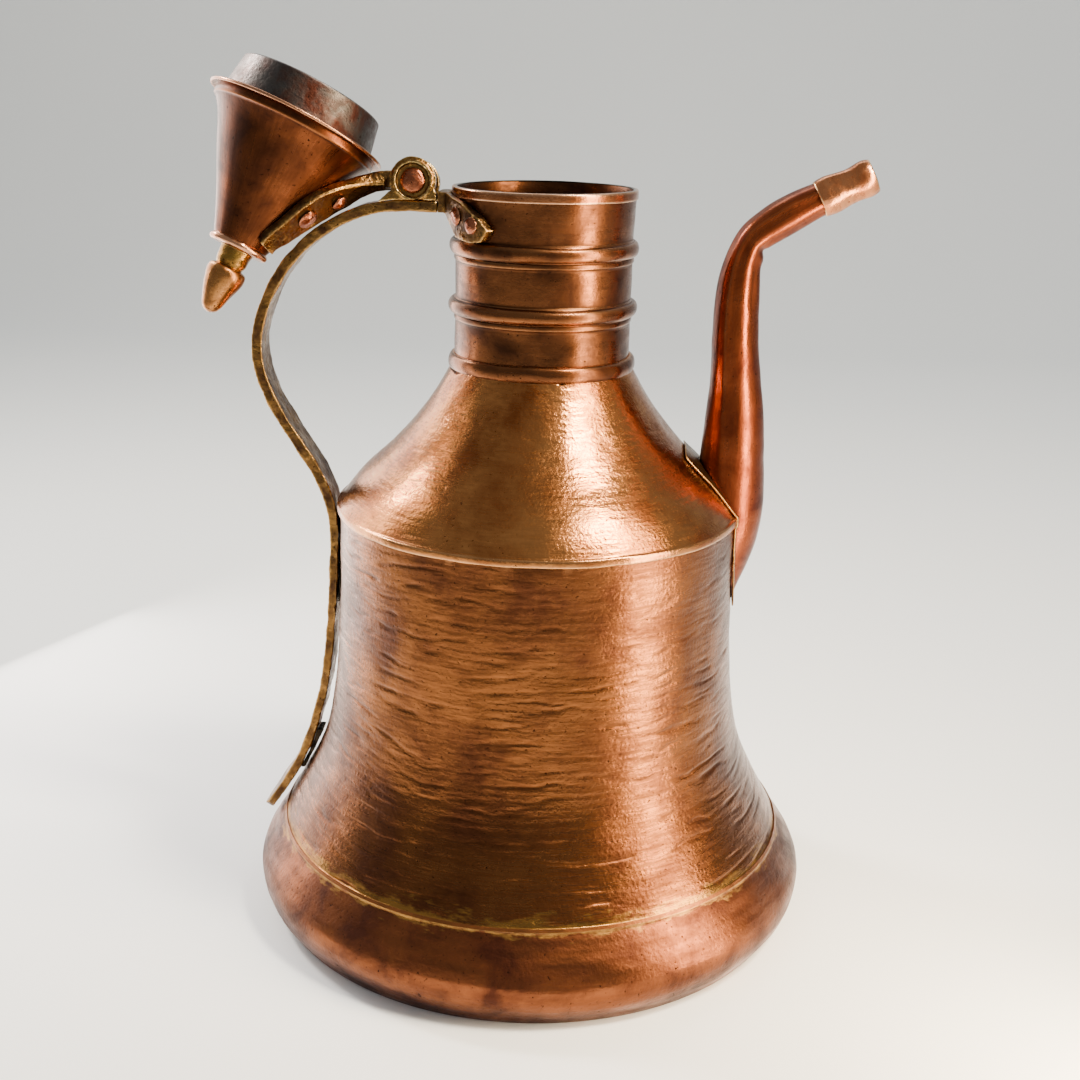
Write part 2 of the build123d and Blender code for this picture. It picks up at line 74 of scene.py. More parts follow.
def new_material(name):
    material = bpy.data.materials.new(name)
    material.use_nodes = True
    material.node_tree.nodes.clear()
    return material, material.node_tree


def shown(name, mesh):
    """Puts a mesh in the scene as a piece of that name."""
    piece = bpy.data.objects.new(name, mesh)
    bpy.context.scene.collection.objects.link(piece)
    return piece


PAPER_GRAIN_MM = 2.5


def seamless_paper():
    """Uncoated studio paper: matt, with a faint tooth and a slow drift in its tone."""
    material, tree = new_material("uncoated_paper")
    place = add(tree, "TexCoord").outputs["Object"]
    drift = add(tree, "TexNoise", {"Vector": place, "Scale": 1.5, "Detail": 2})
    tone = add(tree, "ValToRGB", {"Fac": drift.outputs["Fac"]}, [(0.3, "#F0F4F5"), (0.7, "#F4F7F8")])
    tooth = add(tree, "TexNoise", {"Vector": place, "Scale": 1000 / PAPER_GRAIN_MM, "Detail": 3})
    bump = add(tree, "Bump", {"Height": tooth.outputs["Fac"], "Strength": 0.15, "Distance": 0.0003})
    surface = {"Base Color": tone.outputs["Color"], "Roughness": 0.95, "Normal": bump.outputs["Normal"]}
    shader = add(tree, "BsdfPrincipled", surface)
    add(tree, "OutputMaterial", {"Surface": shader.outputs["BSDF"]})
    return material


SWEEP_HALF_WIDTH = 4.0
SWEEP_FRONT = -4.0
SWEEP_BACK = 1.6
SWEEP_BEND = 0.9
SWEEP_TOP = 3.0
bend_steps = [radians(90 * i / 24) for i in range(25)]
sweep_line = [(SWEEP_FRONT, 0.0)]
sweep_line += [(SWEEP_BACK + SWEEP_BEND * sin(a), SWEEP_BEND * (1 - cos(a))) for a in bend_steps]
sweep_line += [(SWEEP_BACK + SWEEP_BEND, SWEEP_TOP)]
sweep_mesh = bpy.data.meshes.new("paper_sweep")
sweep_mesh.from_pydata(
    [(side * SWEEP_HALF_WIDTH, y, z) for y, z in sweep_line for side in (-1, 1)],
    [],
    [(2 * i, 2 * i + 1, 2 * i + 3, 2 * i + 2) for i in range(len(sweep_line) - 1)],
)
sweep_mesh.shade_smooth()
sweep_mesh.materials.append(seamless_paper())
shown("paper_sweep", sweep_mesh)


def softbox(name, turn, distance, height, width, tall, radiance, aim_height=0.2, hue="#FFFFFF"):
    """A rectangular light, turned round from the camera's side, facing the ewer."""
    light = bpy.data.lights.new(name, "AREA")
    light.shape = "RECTANGLE"
    light.size = width
    light.size_y = tall
    light.energy = radiance * width * tall * pi
    light.color = linear(hue)[:3]
    lamp = shown(name, light)
    lamp.location = (distance * sin(radians(turn)), -distance * cos(radians(turn)), height)
    facing = Vector((0, 0, aim_height)) - lamp.location
    lamp.rotation_mode = "QUATERNION"
    lamp.rotation_quaternion = facing.to_track_quat("-Z", "Y")
    lamp.visible_camera = False


softbox("right_panel", 58, 0.34, 0.33, 0.10, 0.62, 36.0, 0.33, "#FFE2B8")
softbox("left_panel", -114, 0.46, 0.36, 0.40, 0.70, 6.0, 0.36, "#FFF0E6")
softbox("overhead_right", 58, 0.80, 1.40, 0.26, 0.26, 170.0, 0.2, "#FFF0D8")
softbox("overhead_left", -116, 0.95, 0.95, 0.17, 0.17, 170.0, 0.2, "#FFF6EC")
softbox("back_wash", 180, 1.3, 2.3, 2.4, 0.8, 4.0, 0.6)

world = bpy.data.worlds.new("studio_air")
bpy.context.scene.world = world
world.use_nodes = True
world.node_tree.nodes["Background"].inputs["Color"].default_value = linear("#EEF3F6")
world.node_tree.nodes["Background"].inputs["Strength"].default_value = 0.42

EYE = Vector((0.0371, -0.708, 0.409))
GAZE = Vector((-0.0481, 0.9532, -0.2986))
TILT = radians(1.38)
camera = shown("camera", bpy.data.cameras.new("camera"))
camera.data.lens = 50
camera.data.sensor_width = 36
camera.location = EYE
camera.rotation_mode = "QUATERNION"
camera.rotation_quaternion = GAZE.to_track_quat("-Z", "Y") @ Quaternion((0, 0, 1), TILT)
bpy.context.scene.camera = camera

# The wall -----------------------------------------------------------------------------
# One band of copper, raised over a stake and flared out to the foot.  It is planished
# from outside in close level rows, which show as fine rings with a few deep creases.
MM = 0.001
SHEET_MM = 1.4
WALL_GIRTH_MM = 660.0


def flowing(points, step):
    """Evenly spaced points along a smooth curve through a few driving points."""
    knots = np.array(points, float)
    gaps = np.linalg.norm(np.diff(knots[:, :2], axis=0), axis=1)
    count = len(knots)
    system = np.zeros((count, count))
    wanted = np.zeros_like(knots)
    system[0, :2] = 2, 1
    system[-1, -2:] = 1, 2
    wanted[0] = 3 * (knots[1] - knots[0]) / gaps[0]
    wanted[-1] = 3 * (knots[-1] - knots[-2]) / gaps[-1]
    for i in range(1, count - 1):
        low, high = gaps[i - 1], gaps[i]
        system[i, i - 1 : i + 2] = high, 2 * (low + high), low
        wanted[i] = 3 * (high * (knots[i] - knots[i - 1]) / low + low * (knots[i + 1] - knots[i]) / high)
    slopes = np.linalg.solve(system, wanted)
    ends = np.r_[0, np.cumsum(gaps)]
    along = np.linspace(0, ends[-1], max(2, round(ends[-1] / step) + 1))
    span = np.clip(np.searchsorted(ends, along, "right") - 1, 0, count - 2)
    gap = gaps[span][:, None]
    t = (along - ends[span])[:, None] / gap
    start = (2 * t**3 - 3 * t**2 + 1) * knots[span] + (t**3 - 2 * t**2 + t) * gap * slopes[span]
    return start + (3 * t**2 - 2 * t**3) * knots[span + 1] + (t**3 - t**2) * gap * slopes[span + 1]


def outward(outline):
    """Unit normals of an outline that runs with its outside on the right."""
    along = np.gradient(outline, axis=0)
    normals = np.stack([along[:, 1], -along[:, 0]], axis=1)
    return normals / np.maximum(np.linalg.norm(normals, axis=1), 1e-9)[:, None]


def as_sheet(outer, thickness, skip=8):
    """Closes an outer line into the section of a sheet, with half-round edges."""
    normals = outward(outer)
    inner = (outer - normals * thickness)[::skip][::-1]
    if not np.allclose(inner[0], outer[-1] - normals[-1] * thickness):
        inner = np.vstack([outer[-1] - normals[-1] * thickness, inner])
    half = thickness / 2
    edges = []
    for end, way in ((-1, 1), (0, -1)):
        centre = outer[end] - normals[end] * half
        tip = np.array([-normals[end][1], normals[end][0]]) * way
        turns = [radians(a) for a in (30, 60, 90, 120, 150)]
        edge = [centre + normals[end] * half * cos(a) + tip * half * sin(a) for a in turns]
        edges.append(np.array(edge if end else edge[::-1]))
    return np.vstack([outer, edges[0], inner, edges[1]])


def turned(name, outline, around, hammer=None, lift=None, girth=WALL_GIRTH_MM):
    """Turns an outline of (radius, height) in mm about the ewer's axis, and lays it out
    flat in metres as a UV map.  hammer gives how far each point is driven out along its
    normal, and lift how far it is raised, from its turn and its run along the outline."""
    poles = outline[0][0] < 1e-6 and outline[-1][0] < 1e-6
    steps = np.linalg.norm(np.diff(outline, axis=0), axis=1)
    run = np.r_[0, np.cumsum(steps)]
    whole = run[-1] + (0 if poles else np.linalg.norm(outline[0] - outline[-1]))
    turn = np.arange(around) / around * tau - pi
    rows, turns = len(outline), around
    run_at, turn_at = np.meshgrid(run, turn, indexing="ij")
    ends = np.vstack([outline[-1], outline, outline[0]]) if not poles else outline
    normals = outward(ends)[1:-1] if not poles else outward(ends)
    drive = hammer(turn_at, run_at) if hammer else np.zeros((rows, turns))
    radius = outline[:, :1] + normals[:, :1] * drive
    height = outline[:, 1:] + normals[:, 1:] * drive + (lift(turn_at, run_at) if lift else 0)
    points = np.stack([radius * np.cos(turn_at), radius * np.sin(turn_at), height], axis=2) * MM
    i, j = np.meshgrid(np.arange(rows if not poles else rows - 1), np.arange(turns), indexing="ij")
    i, j = i.ravel(), j.ravel()
    up, on = (i + 1) % rows, (j + 1) % turns
    faces = np.stack([i * turns + j, i * turns + on, up * turns + on, up * turns + j], axis=1)
    low, high = run[i], np.where(i + 1 < rows, run[up], whole)
    left, right = j / turns * girth, (j + 1) / turns * girth
    lay = np.stack([np.stack([left, right, right, left], 1), np.stack([low, low, high, high], 1)], 2) * MM
    mesh = bpy.data.meshes.new(name)
    mesh.from_pydata(points.reshape(-1, 3).tolist(), [], faces.tolist())
    mesh.uv_layers.new(name="flat").data.foreach_set("uv", lay.ravel().astype(np.float32))
    if poles:
        mesh = without_slivers(mesh)
    mesh.shade_smooth()
    return shown(name, mesh)


def without_slivers(mesh):
    """Merges the points that meet on the axis into one pole."""
    work = bmesh.new()
    work.from_mesh(mesh)
    bmesh.ops.remove_doubles(work, verts=work.verts, dist=1e-7)
    work.to_mesh(mesh)
    work.free()
    return mesh


def uneven(turn, run, wide, tall, seed, girth=WALL_GIRTH_MM):
    """Smooth uneven values from -1 to 1 that close round a piece, in patches of mm."""
    across = max(3, round(girth / wide))
    table = np.random.default_rng(seed).uniform(-1, 1, (int(run.max() / tall) + 4, across))
    x = (turn + pi) / tau * across
    y = run / tall + 1
    left, low = np.floor(x).astype(int), np.floor(y).astype(int)
    s, t = x - left, y - low
    s, t = s * s * (3 - 2 * s), t * t * (3 - 2 * t)
    a, b = left % across, (left + 1) % across
    bottom = table[low, a] * (1 - s) + table[low, b] * s
    top = table[low + 1, a] * (1 - s) + table[low + 1, b] * s
    return bottom * (1 - t) + top * t


def planished(turn, run, row, mark, depth, seed, girth=WALL_GIRTH_MM):
    """Overlapping hammer marks in level rows: each a shallow hollow with a soft ridge."""
    level = run / row + 0.5 * uneven(turn, run, 48, 15, seed, girth) + 2
    k = np.floor(level).astype(int)
    across = round(girth / mark)
    pick = np.random.default_rng(seed + 1)
    offset = pick.random(k.max() + 2)[k]
    force = pick.uniform(0.25, 1, (k.max() + 2, across))
    x = (turn + pi) / tau * across + offset + 0.35 * uneven(turn, run, 20, 4, seed + 2, girth)
    j = np.floor(x).astype(int)
    fx, fy = x - j, level - k
    hollow = (0.45 + 0.55 * (1 - (2 * fx - 1) ** 2)) * (1 - (2 * fy - 1) ** 2)
    return -depth * force[k, j % across] * hollow


def facing_side(turn, middle, spread):
    """1 on one side of a piece, fading to 0 within a spread of degrees."""
    away = (turn - radians(middle) + pi) % tau - pi
    return np.exp(-((away / radians(spread)) ** 2))


def creases(turn, run, gap, depth, seed, girth=WALL_GIRTH_MM):
    """Level creases where one course of hammering overran the next, broken up."""
    drift = 0.8 * uneven(turn, run, 60, 22, seed, girth)
    level = run / gap + drift + 0.25 * uneven(turn, run, 9, 6, seed + 5, girth) + 3
    near = np.abs(level - np.round(level))
    broken = np.clip(0.1 + 1.5 * uneven(turn, run, 15, gap, seed + 3, girth), 0, 1)
    return -depth * np.exp(-((near / 0.11) ** 2)) * broken


def aged_metal(name, shades, mottle, line, gloss, relief, lined, laid=True, braze=None, bore_shade_mm=None):
    """Old hand-worked metal.  Shades run from a dark tone, painted as shade into its creases
    and as dirt into its pits, through two tones of patina to the rubbed high spots; mottle is
    the width of a patina cloud, line the length and height of a burnishing streak, and the
    last argument the radius inside which a bore is painted near-black as shade, all in mm;
    gloss is its span of roughness."""
    shade_and_dirt_tone, patina, body, worn = shades
    material, tree = new_material(name)
    place = add(tree, "TexCoord").outputs["Object"]
    flat = add(tree, "UVMap", uv_map="flat").outputs["UV"] if laid else place
    cloud = add(tree, "TexNoise", {"Vector": place, "Scale": 1000 / mottle, "Detail": 7, "Roughness": 0.62,
                                   "Distortion": 0.4})
    tone = add(tree, "ValToRGB", {"Fac": cloud.outputs["Fac"]}, [(0.36, patina), (0.62, body)])
    stretch = (1000 / line[0], 1000 / line[1], 1000 / line[1])
    warp = add(tree, "TexNoise", {"Vector": flat, "Scale": 1000 / 11, "Detail": 2})
    wander = add(tree, "VectorMath", {0: warp.outputs["Color"], 1: (0.0024, 0.0024, 0.0024), 2: flat},
                 operation="MULTIPLY_ADD")
    streak_place = add(tree, "Mapping", {"Vector": wander.outputs["Vector"], "Scale": stretch})
    streak = add(tree, "TexNoise", {"Vector": streak_place.outputs["Vector"], "Scale": 1, "Detail": 5,
                                    "Roughness": 0.6})
    streak_shade = add(tree, "ValToRGB", {"Fac": streak.outputs["Fac"]}, [(0.36, 0.35), (0.6, 1.0)])
    streaked = add(tree, "Mix", {0: lined, 6: tone.outputs["Color"], 7: streak_shade.outputs["Color"]},
                   data_type="RGBA", blend_type="MULTIPLY")
    grain = add(tree, "TexNoise", {"Vector": place, "Scale": 1000 / 1.6, "Detail": 3, "Roughness": 0.55})
    ridge = add(tree, "NewGeometry").outputs["Pointiness"]
    # Painted shade: where pointiness is low, in creases and hollows, the colour is mixed to the darkest
    # shade.
    hollow = add(tree, "ValToRGB", {"Fac": ridge}, [(0.44, 1.0), (0.495, 0.0)])
    crest = add(tree, "ValToRGB", {"Fac": ridge}, [(0.515, 0.0), (0.60, 1.0)])
    pit = add(tree, "ValToRGB", {"Fac": grain.outputs["Fac"]}, [(0.27, 1.0), (0.36, 0.0)])
    crease_shade_and_pits = add(tree, "Math", {0: hollow.outputs["Color"], 1: pit.outputs["Color"]}, operation="MAXIMUM")
    shaded_and_soiled = add(tree, "Mix", {0: crease_shade_and_pits.outputs["Value"], 6: streaked.outputs[2], 7: linear(shade_and_dirt_tone)},
                 data_type="RGBA")
    rubbed = add(tree, "Mix", {0: crest.outputs["Color"], 6: shaded_and_soiled.outputs[2], 7: linear(worn)},
                 data_type="RGBA")
    colour = rubbed.outputs[2]
    if braze:
        middle, reach, brass = braze
        run = add(tree, "SeparateXYZ", {"Vector": flat}).outputs["Y"]
        away = add(tree, "Math", {0: run, 1: middle * MM}, operation="SUBTRACT")
        away = add(tree, "Math", {0: away.outputs["Value"]}, operation="ABSOLUTE")
        patch_place = add(tree, "Mapping", {"Vector": flat, "Scale": (1000 / 14, 1000 / 5, 1)})
        patch = add(tree, "TexNoise", {"Vector": patch_place.outputs["Vector"], "Scale": 1, "Detail": 6,
                                       "Roughness": 0.7})
        shift = add(tree, "Math", {0: patch.outputs["Fac"], 1: -reach * MM * 3.2, 2: reach * MM * 1.9},
                    operation="MULTIPLY_ADD")
        near = add(tree, "Math", {0: away.outputs["Value"], 1: shift.outputs["Value"]}, operation="ADD")
        flash = add(tree, "MapRange", {"Value": near.outputs["Value"], "From Min": reach * MM * 0.75,
                                       "From Max": reach * MM * 0.35, "To Min": 0, "To Max": 0.75})
        brazed = add(tree, "Mix", {0: flash.outputs["Result"], 6: colour, 7: linear(brass)},
                     data_type="RGBA")
        colour = brazed.outputs[2]
    # Painted shade: inside the given radius a bore is mixed to near-black (#15100C).
    if bore_shade_mm:
        level_place = add(tree, "VectorMath", {0: place, 1: (1, 1, 0)}, operation="MULTIPLY")
        from_axis = add(tree, "VectorMath", {0: level_place.outputs["Vector"]}, operation="LENGTH")
        inside = add(tree, "MapRange", {"Value": from_axis.outputs["Value"],
                                        "From Min": (bore_shade_mm + 0.5) * MM,
                                        "From Max": (bore_shade_mm - 0.2) * MM})
        painted_bore_shade = add(tree, "Mix", {0: inside.outputs["Result"], 6: colour, 7: linear("#15100C")},
                        data_type="RGBA")
        colour = painted_bore_shade.outputs[2]
    wear = add(tree, "Math", {0: cloud.outputs["Fac"], 1: streak.outputs["Fac"]}, operation="ADD")
    rough = add(tree, "MapRange", {"Value": wear.outputs["Value"], "From Min": 0.8, "From Max": 1.2,
                                   "To Min": gloss[1], "To Max": gloss[0]})
    matt = add(tree, "Math", {0: crease_shade_and_pits.outputs["Value"], 1: 0.25, 2: rough.outputs["Result"]},
               operation="MULTIPLY_ADD")
    height = add(tree, "Math", {0: streak.outputs["Fac"], 1: 0.6, 2: grain.outputs["Fac"]},
                 operation="MULTIPLY_ADD")
    bump = add(tree, "Bump", {"Height": height.outputs["Value"], "Strength": relief, "Distance": 0.0006})
    surface = {"Base Color": colour, "Metallic": 1.0, "Roughness": matt.outputs["Value"],
               "Normal": bump.outputs["Normal"]}
    shader = add(tree, "BsdfPrincipled", surface)
    add(tree, "OutputMaterial", {"Surface": shader.outputs["BSDF"]})
    return material


def finish_piece(piece, material, body, slot, *nodes):
    """Gives a piece its finish, sets it on its body and lets it stand for its nodes."""
    piece.data.materials.clear()
    piece.data.materials.append(material)
    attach(piece, body)
    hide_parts(*nodes)
    return piece


WALL_LINE = [(126.1, 45.7), (114.8, 66.5), (106.0, 87.4), (100.7, 114.3), (98.0, 145.6), (96.9, 178.0),
             (96.9, 206.3)]


def wall_hammer(turn, run):
    rows = planished(turn, run, 4.2, 7.5, 0.13, 11)
    deep = creases(turn, run, 5.6, 0.62, 21) * facing_side(turn, -48, 48) * np.clip((150 - run) / 60, 0, 1)
    rings = creases(turn, run, 7.4, 0.5, 31) * facing_side(turn, -140, 44)
    faint = creases(turn, run, 9.0, 0.26, 41)
    dents = 0.5 * uneven(turn, run, 60, 40, 51) + 0.26 * uneven(turn, run, 18, 13, 61)
    outside = run < 178.5
    return (rows + deep + rings + faint + dents - 0.6) * outside


wall = turned("wall", as_sheet(flowing(WALL_LINE, 0.62), SHEET_MM, 12), 330, wall_hammer)
# Brown copper crossed by short level streaks, with painted shade darkening its creases.
hammered_copper = aged_metal(
    "copper_raised_and_planished", ("#180D08", "#54301D", "#83502B", "#D0905C"), mottle=36,
    line=(17, 1.5), gloss=(0.2, 0.36), relief=0.36, lined=0.6, braze=(0, 10, "#946C34"))
finish_piece(wall, hammered_copper, "ewer", "hammered_copper", "body_shell")

# The shoulder -------------------------------------------------------------------------
# A cone of the same copper, brighter where it has been rubbed.  Its lower edge is turned
# down over the wall and shows as a thin, slightly ragged lip.
LIP = [(96.95, 204.6), (97.5, 204.55), (97.85, 204.9), (98.0, 205.6), (98.0, 206.6), (97.95, 207.4),
       (97.75, 207.95), (97.4, 208.3)]
SHOULDER_LINE = [(97.4, 208.3), (87.2, 221.0), (73.6, 234.1), (61.9, 247.1), (52.2, 260.2), (43.9, 274.5)]


def shoulder_hammer(turn, run):
    rows = planished(turn, run, 3.8, 7.0, 0.08, 12)
    faint = creases(turn, run, 9.0, 0.10, 22)
    dents = 0.3 * uneven(turn, run, 50, 30, 52) + 0.16 * uneven(turn, run, 16, 12, 62) - 0.3
    top = (run > 5) & (run < 92)
    return (rows + faint + dents) * top + 0.16 * uneven(turn, run, 9, 30, 72) * (run <= 5)


shoulder_outer = np.vstack([LIP, flowing(SHOULDER_LINE, 0.62)[1:]])
shoulder = turned("shoulder", as_sheet(shoulder_outer, SHEET_MM - 0.5, 10), 320, shoulder_hammer,
                  lambda turn, run: 0.22 * uneven(turn, run, 14, 30, 82) * (run < 8))
# The brightest sheet on the ewer: golden, and glossy enough to hold a highlight.
shoulder_copper = aged_metal(
    "copper_planished_and_rubbed", ("#301A0C", "#824A26", "#BC7C46", "#FFCB90"), mottle=26,
    line=(16, 1.4), gloss=(0.15, 0.3), relief=0.26, lined=0.45)
finish_piece(shoulder, shoulder_copper, "ewer", "hammered_copper", "shoulder_cone")

# The base pan -------------------------------------------------------------------------
# A shallow pan hammered up from a disc.  Years on a stove or a wet floor have turned it
# purple-brown in clouds, and the braze has run down over its edge.
HEEL_LINE = [(130.0, 0.0), (137.6, 9.5), (140.0, 21.0), (134.6, 33.0), (126.9, 44.3)]
PAN_FLOOR = [(0.0, 0.0), (24.0, 0.0), (60.0, 0.0), (100.0, 0.0), (122.0, 0.0), (127.5, 0.0), (129.0, 0.0)]


def pan_hammer(turn, run):
    heel = np.clip((run - 131) / 6, 0, 1) * (run < 181)
    dents = 0.5 * uneven(turn, run, 46, 24, 53, 860) + 0.2 * uneven(turn, run, 16, 10, 63, 860)
    rows = planished(turn, run, 6.0, 11.0, 0.12, 13, 860)
    return (dents + rows - 0.75) * heel


heel = flowing(HEEL_LINE, 0.8)
pan_rise = as_sheet(heel, SHEET_MM, 6)
pan_inside = pan_rise[len(heel) : -6]
pan_floor_inside = [(120.0, SHEET_MM), (60.0, SHEET_MM), (0.0, SHEET_MM)]
pan_outline = np.vstack([PAN_FLOOR, heel, pan_inside, pan_floor_inside])
pan = turned("base_pan_hammered", pan_outline, 320, pan_hammer, girth=860.0)
# Purple-brown clouds over dull copper, with the seam's yellow specks at its edge.
base_copper = aged_metal(
    "copper_fire_darkened", ("#180C09", "#46261B", "#7C482B", "#C08A60"), mottle=24, line=(30, 5),
    gloss=(0.28, 0.5), relief=0.3, lined=0.3, braze=(182, 7, "#A47A3E"))
finish_piece(pan, base_copper, "ewer", "base_copper", "base_pan")

# The braze round the base -------------------------------------------------------------
# The seam between pan and wall was filled with spelter and hammered down.  It has
# tarnished, so that only specks of yellow are left along it.
# Dull spelter, tarnished to the tone of the copper on both sides of it.
braze_brass = aged_metal("spelter_brazed", ("#24140C", "#6A3E22", "#8E5C32", "#7A4A2A"), mottle=9,
                         line=(8, 3), gloss=(0.3, 0.5), relief=0.25, lined=0.5, laid=False)
frame["nodes"]["base_seam_braze"].data.materials.clear()
frame["nodes"]["base_seam_braze"].data.materials.append(braze_brass)

# The neck -----------------------------------------------------------------------------
# A rolled tube with two swaged rings and a hemmed mouth.  It is smoother and browner
# than the body, and its bore is painted near-black as shade.
NECK_GIRTH_MM = 262.0
NECK_R = 41.6


def ring_bulge(z, r, start_r, half, steps=14):
    """Points up over a half-round ring that stands out from the wall."""
    rise = [pi * i / steps for i in range(steps + 1)]
    return [(start_r + (r - start_r) * sin(a) ** 0.8, z - half * cos(a)) for a in rise]


def level_run(r_low, r_high, low, high, step=1.2):
    count = max(2, round((high - low) / step))
    shares = [i / count for i in range(1, count)]
    return [(r_low + (r_high - r_low) * share, low + (high - low) * share) for share in shares]


neck_outer = np.array(
    [(NECK_R, 268.0)]
    + level_run(NECK_R, NECK_R, 268.0, 297.0)
    + ring_bulge(298.4, 42.3, NECK_R, 1.4, 8)
    + ring_bulge(303.5, 45.0, NECK_R, 3.7)[1:]
    + level_run(NECK_R, NECK_R, 307.2, 324.5)
    + ring_bulge(325.9, 42.3, NECK_R, 1.4, 8)
    + ring_bulge(331.0, 44.5, NECK_R, 3.7)[1:]
    + level_run(NECK_R, 42.3, 334.7, 353.0)
    + [(42.4, 353.2), (42.45, 355.0), (42.45, 357.2)]
)


def neck_hammer(turn, run):
    dents = 0.3 * uneven(turn, run, 26, 18, 54, NECK_GIRTH_MM)
    small = 0.12 * uneven(turn, run, 9, 6, 64, NECK_GIRTH_MM) - 0.2
    return (dents + small) * (run < 98) * np.clip(run / 4, 0, 1)


def neck_wave(turn, run):
    """The rings run a little out of level."""
    return 0.25 * uneven(turn, run, 40, 200, 74, NECK_GIRTH_MM) * (run < 90) * (run > 20)


NECK_SHEET_MM = 1.2
neck_section = as_sheet(neck_outer, NECK_SHEET_MM, 3)
neck = turned("neck", neck_section, 200, neck_hammer, neck_wave, NECK_GIRTH_MM)
# Dark brown with long soft streaks, bright glints where the rings are rubbed, and painted shade in the
# bore.
neck_copper = aged_metal(
    "copper_rolled_with_painted_bore_shade", ("#170D08", "#46291A", "#7C4B2C", "#E8AC74"), mottle=20,
    line=(30, 3.0), gloss=(0.2, 0.36), relief=0.12, lined=0.35, bore_shade_mm=40.9)
finish_piece(neck, neck_copper, "ewer", "neck_copper", "neck_tube")

hem_outline = np.array(
    [(42.55, 353.6), (42.9, 353.4), (43.15, 353.7), (43.2, 354.4), (43.2, 355.6), (43.2, 356.8),
     (43.1, 357.5), (42.7, 357.9), (42.1, 358.0), (41.2, 358.0), (40.7, 357.8), (40.5, 357.4),
     (41.2, 357.3), (42.2, 357.3), (42.5, 356.8), (42.5, 355.0)])
hem = turned("mouth_hem", hem_outline, 200,
             lambda turn, run: -0.10 + 0.09 * uneven(turn, run, 18, 60, 75, NECK_GIRTH_MM),
             girth=NECK_GIRTH_MM)
# A thin bright edge, with painted shade darkening the inside.
hem_copper = aged_metal(
    "copper_hem_rubbed", ("#3A2014", "#7E4A2C", "#AA6E48", "#F3C8A0"), mottle=14, line=(14, 2),
    gloss=(0.16, 0.3), relief=0.15, lined=0.3, bore_shade_mm=41.6)
finish_piece(hem, hem_copper, "ewer", "neck_copper", "rim_hem")

collar_back = [(NECK_R, 281.4), (NECK_R, 273.2)]
collar_outline = np.array(collar_back + ring_bulge(277.3, 44.5, NECK_R + 0.1, 4.1, 18)[1:-1])
COLLAR_BACK_MM = 8.5


def collar_hammer(turn, run):
    return (0.14 * uneven(turn, run, 7, 4, 76, NECK_GIRTH_MM) - 0.1) * (run > COLLAR_BACK_MM)


def collar_wave(turn, run):
    return 0.45 * uneven(turn, run, 22, 60, 77, NECK_GIRTH_MM) * (run > COLLAR_BACK_MM)


neck_ring = turned("neck_foot_ring", collar_outline, 200, collar_hammer, collar_wave, NECK_GIRTH_MM)
finish_piece(neck_ring, neck_copper, "ewer", "neck_copper", "neck_collar")

# The spout ----------------------------------------------------------------------------
# Sheet copper folded to a taper, seamed behind and bent over at the top, so that it is
# faintly faceted and kinks on the inside of its bend.  Its foot is let into the wall.
SPOUT_STATIONS = [            # x, z, lean from upright, radius
    (90.5, 156, 0, 5.0),
    (91.0, 172, 0, 9.8),
    (91.8, 190, 0, 15.2),
    (92.8, 210, 0, 17.2),
    (93.2, 230, 0, 16.2),
    (93.2, 248, 0, 14.8),
    (92.6, 268, -2, 12.7),
    (91.4, 290, -1, 11.5),
    (91.0, 308, 2, 10.4),
    (91.6, 320, 7, 9.5),
    (93.6, 330.5, 22, 8.4),
    (97.4, 337.6, 42, 8.3),
    (104.4, 343.4, 58, 8.7),
    (114.0, 349.4, 63, 8.6),
    (124.0, 354.9, 64, 7.8),
    (134.0, 359.8, 64.1, 7.6),
]


def bent_tube(name, stations, wall_mm, around, shape, girth, step=0.9, skip=6):
    """A tube through stations of (x, z, lean, radius): shape gives how far each point is
    driven out, from its turn about the tube and its run along it.  Turn 0 faces +X."""
    line = flowing(stations, step)
    run = np.r_[0, np.cumsum(np.linalg.norm(np.diff(line[:, :2], axis=0), axis=1))]
    inside = np.arange(len(line))[::-1][::skip]
    inside = inside if inside[-1] == 0 else np.r_[inside, 0]
    picks = np.r_[np.arange(len(line)), inside]
    outer = np.r_[np.ones(len(line), bool), np.zeros(len(inside), bool)]
    turn = np.arange(around) / around * tau - pi
    run_at, turn_at = np.meshgrid(run[picks], turn, indexing="ij")
    drive = np.where(outer[:, None], shape(turn_at, run_at), 0)
    radius = line[picks, 3:4] - np.where(outer, 0, wall_mm)[:, None] + drive
    lean = np.radians(line[picks, 2:3])
    side, across = radius * np.cos(turn_at), radius * np.sin(turn_at)
    x = line[picks, 0:1] + side * np.cos(lean)
    z = line[picks, 1:2] - side * np.sin(lean)
    points = np.stack([x, across, z], axis=2) * MM
    rows = len(picks)
    i, j = np.meshgrid(np.arange(rows), np.arange(around), indexing="ij")
    i, j = i.ravel(), j.ravel()
    up, on = (i + 1) % rows, (j + 1) % around
    faces = np.stack([i * around + j, i * around + on, up * around + on, up * around + j], axis=1)
    left, right = j / around * girth, (j + 1) / around * girth
    low, high = run[picks][i], run[picks][up]
    lay = np.stack([np.stack([left, right, right, left], 1), np.stack([low, low, high, high], 1)], 2) * MM
    mesh = bpy.data.meshes.new(name)
    mesh.from_pydata(points.reshape(-1, 3).tolist(), [], faces.tolist())
    mesh.uv_layers.new(name="flat").data.foreach_set("uv", lay.ravel().astype(np.float32))
    mesh.shade_smooth()
    return shown(name, mesh)


SPOUT_GIRTH_MM = 84.0


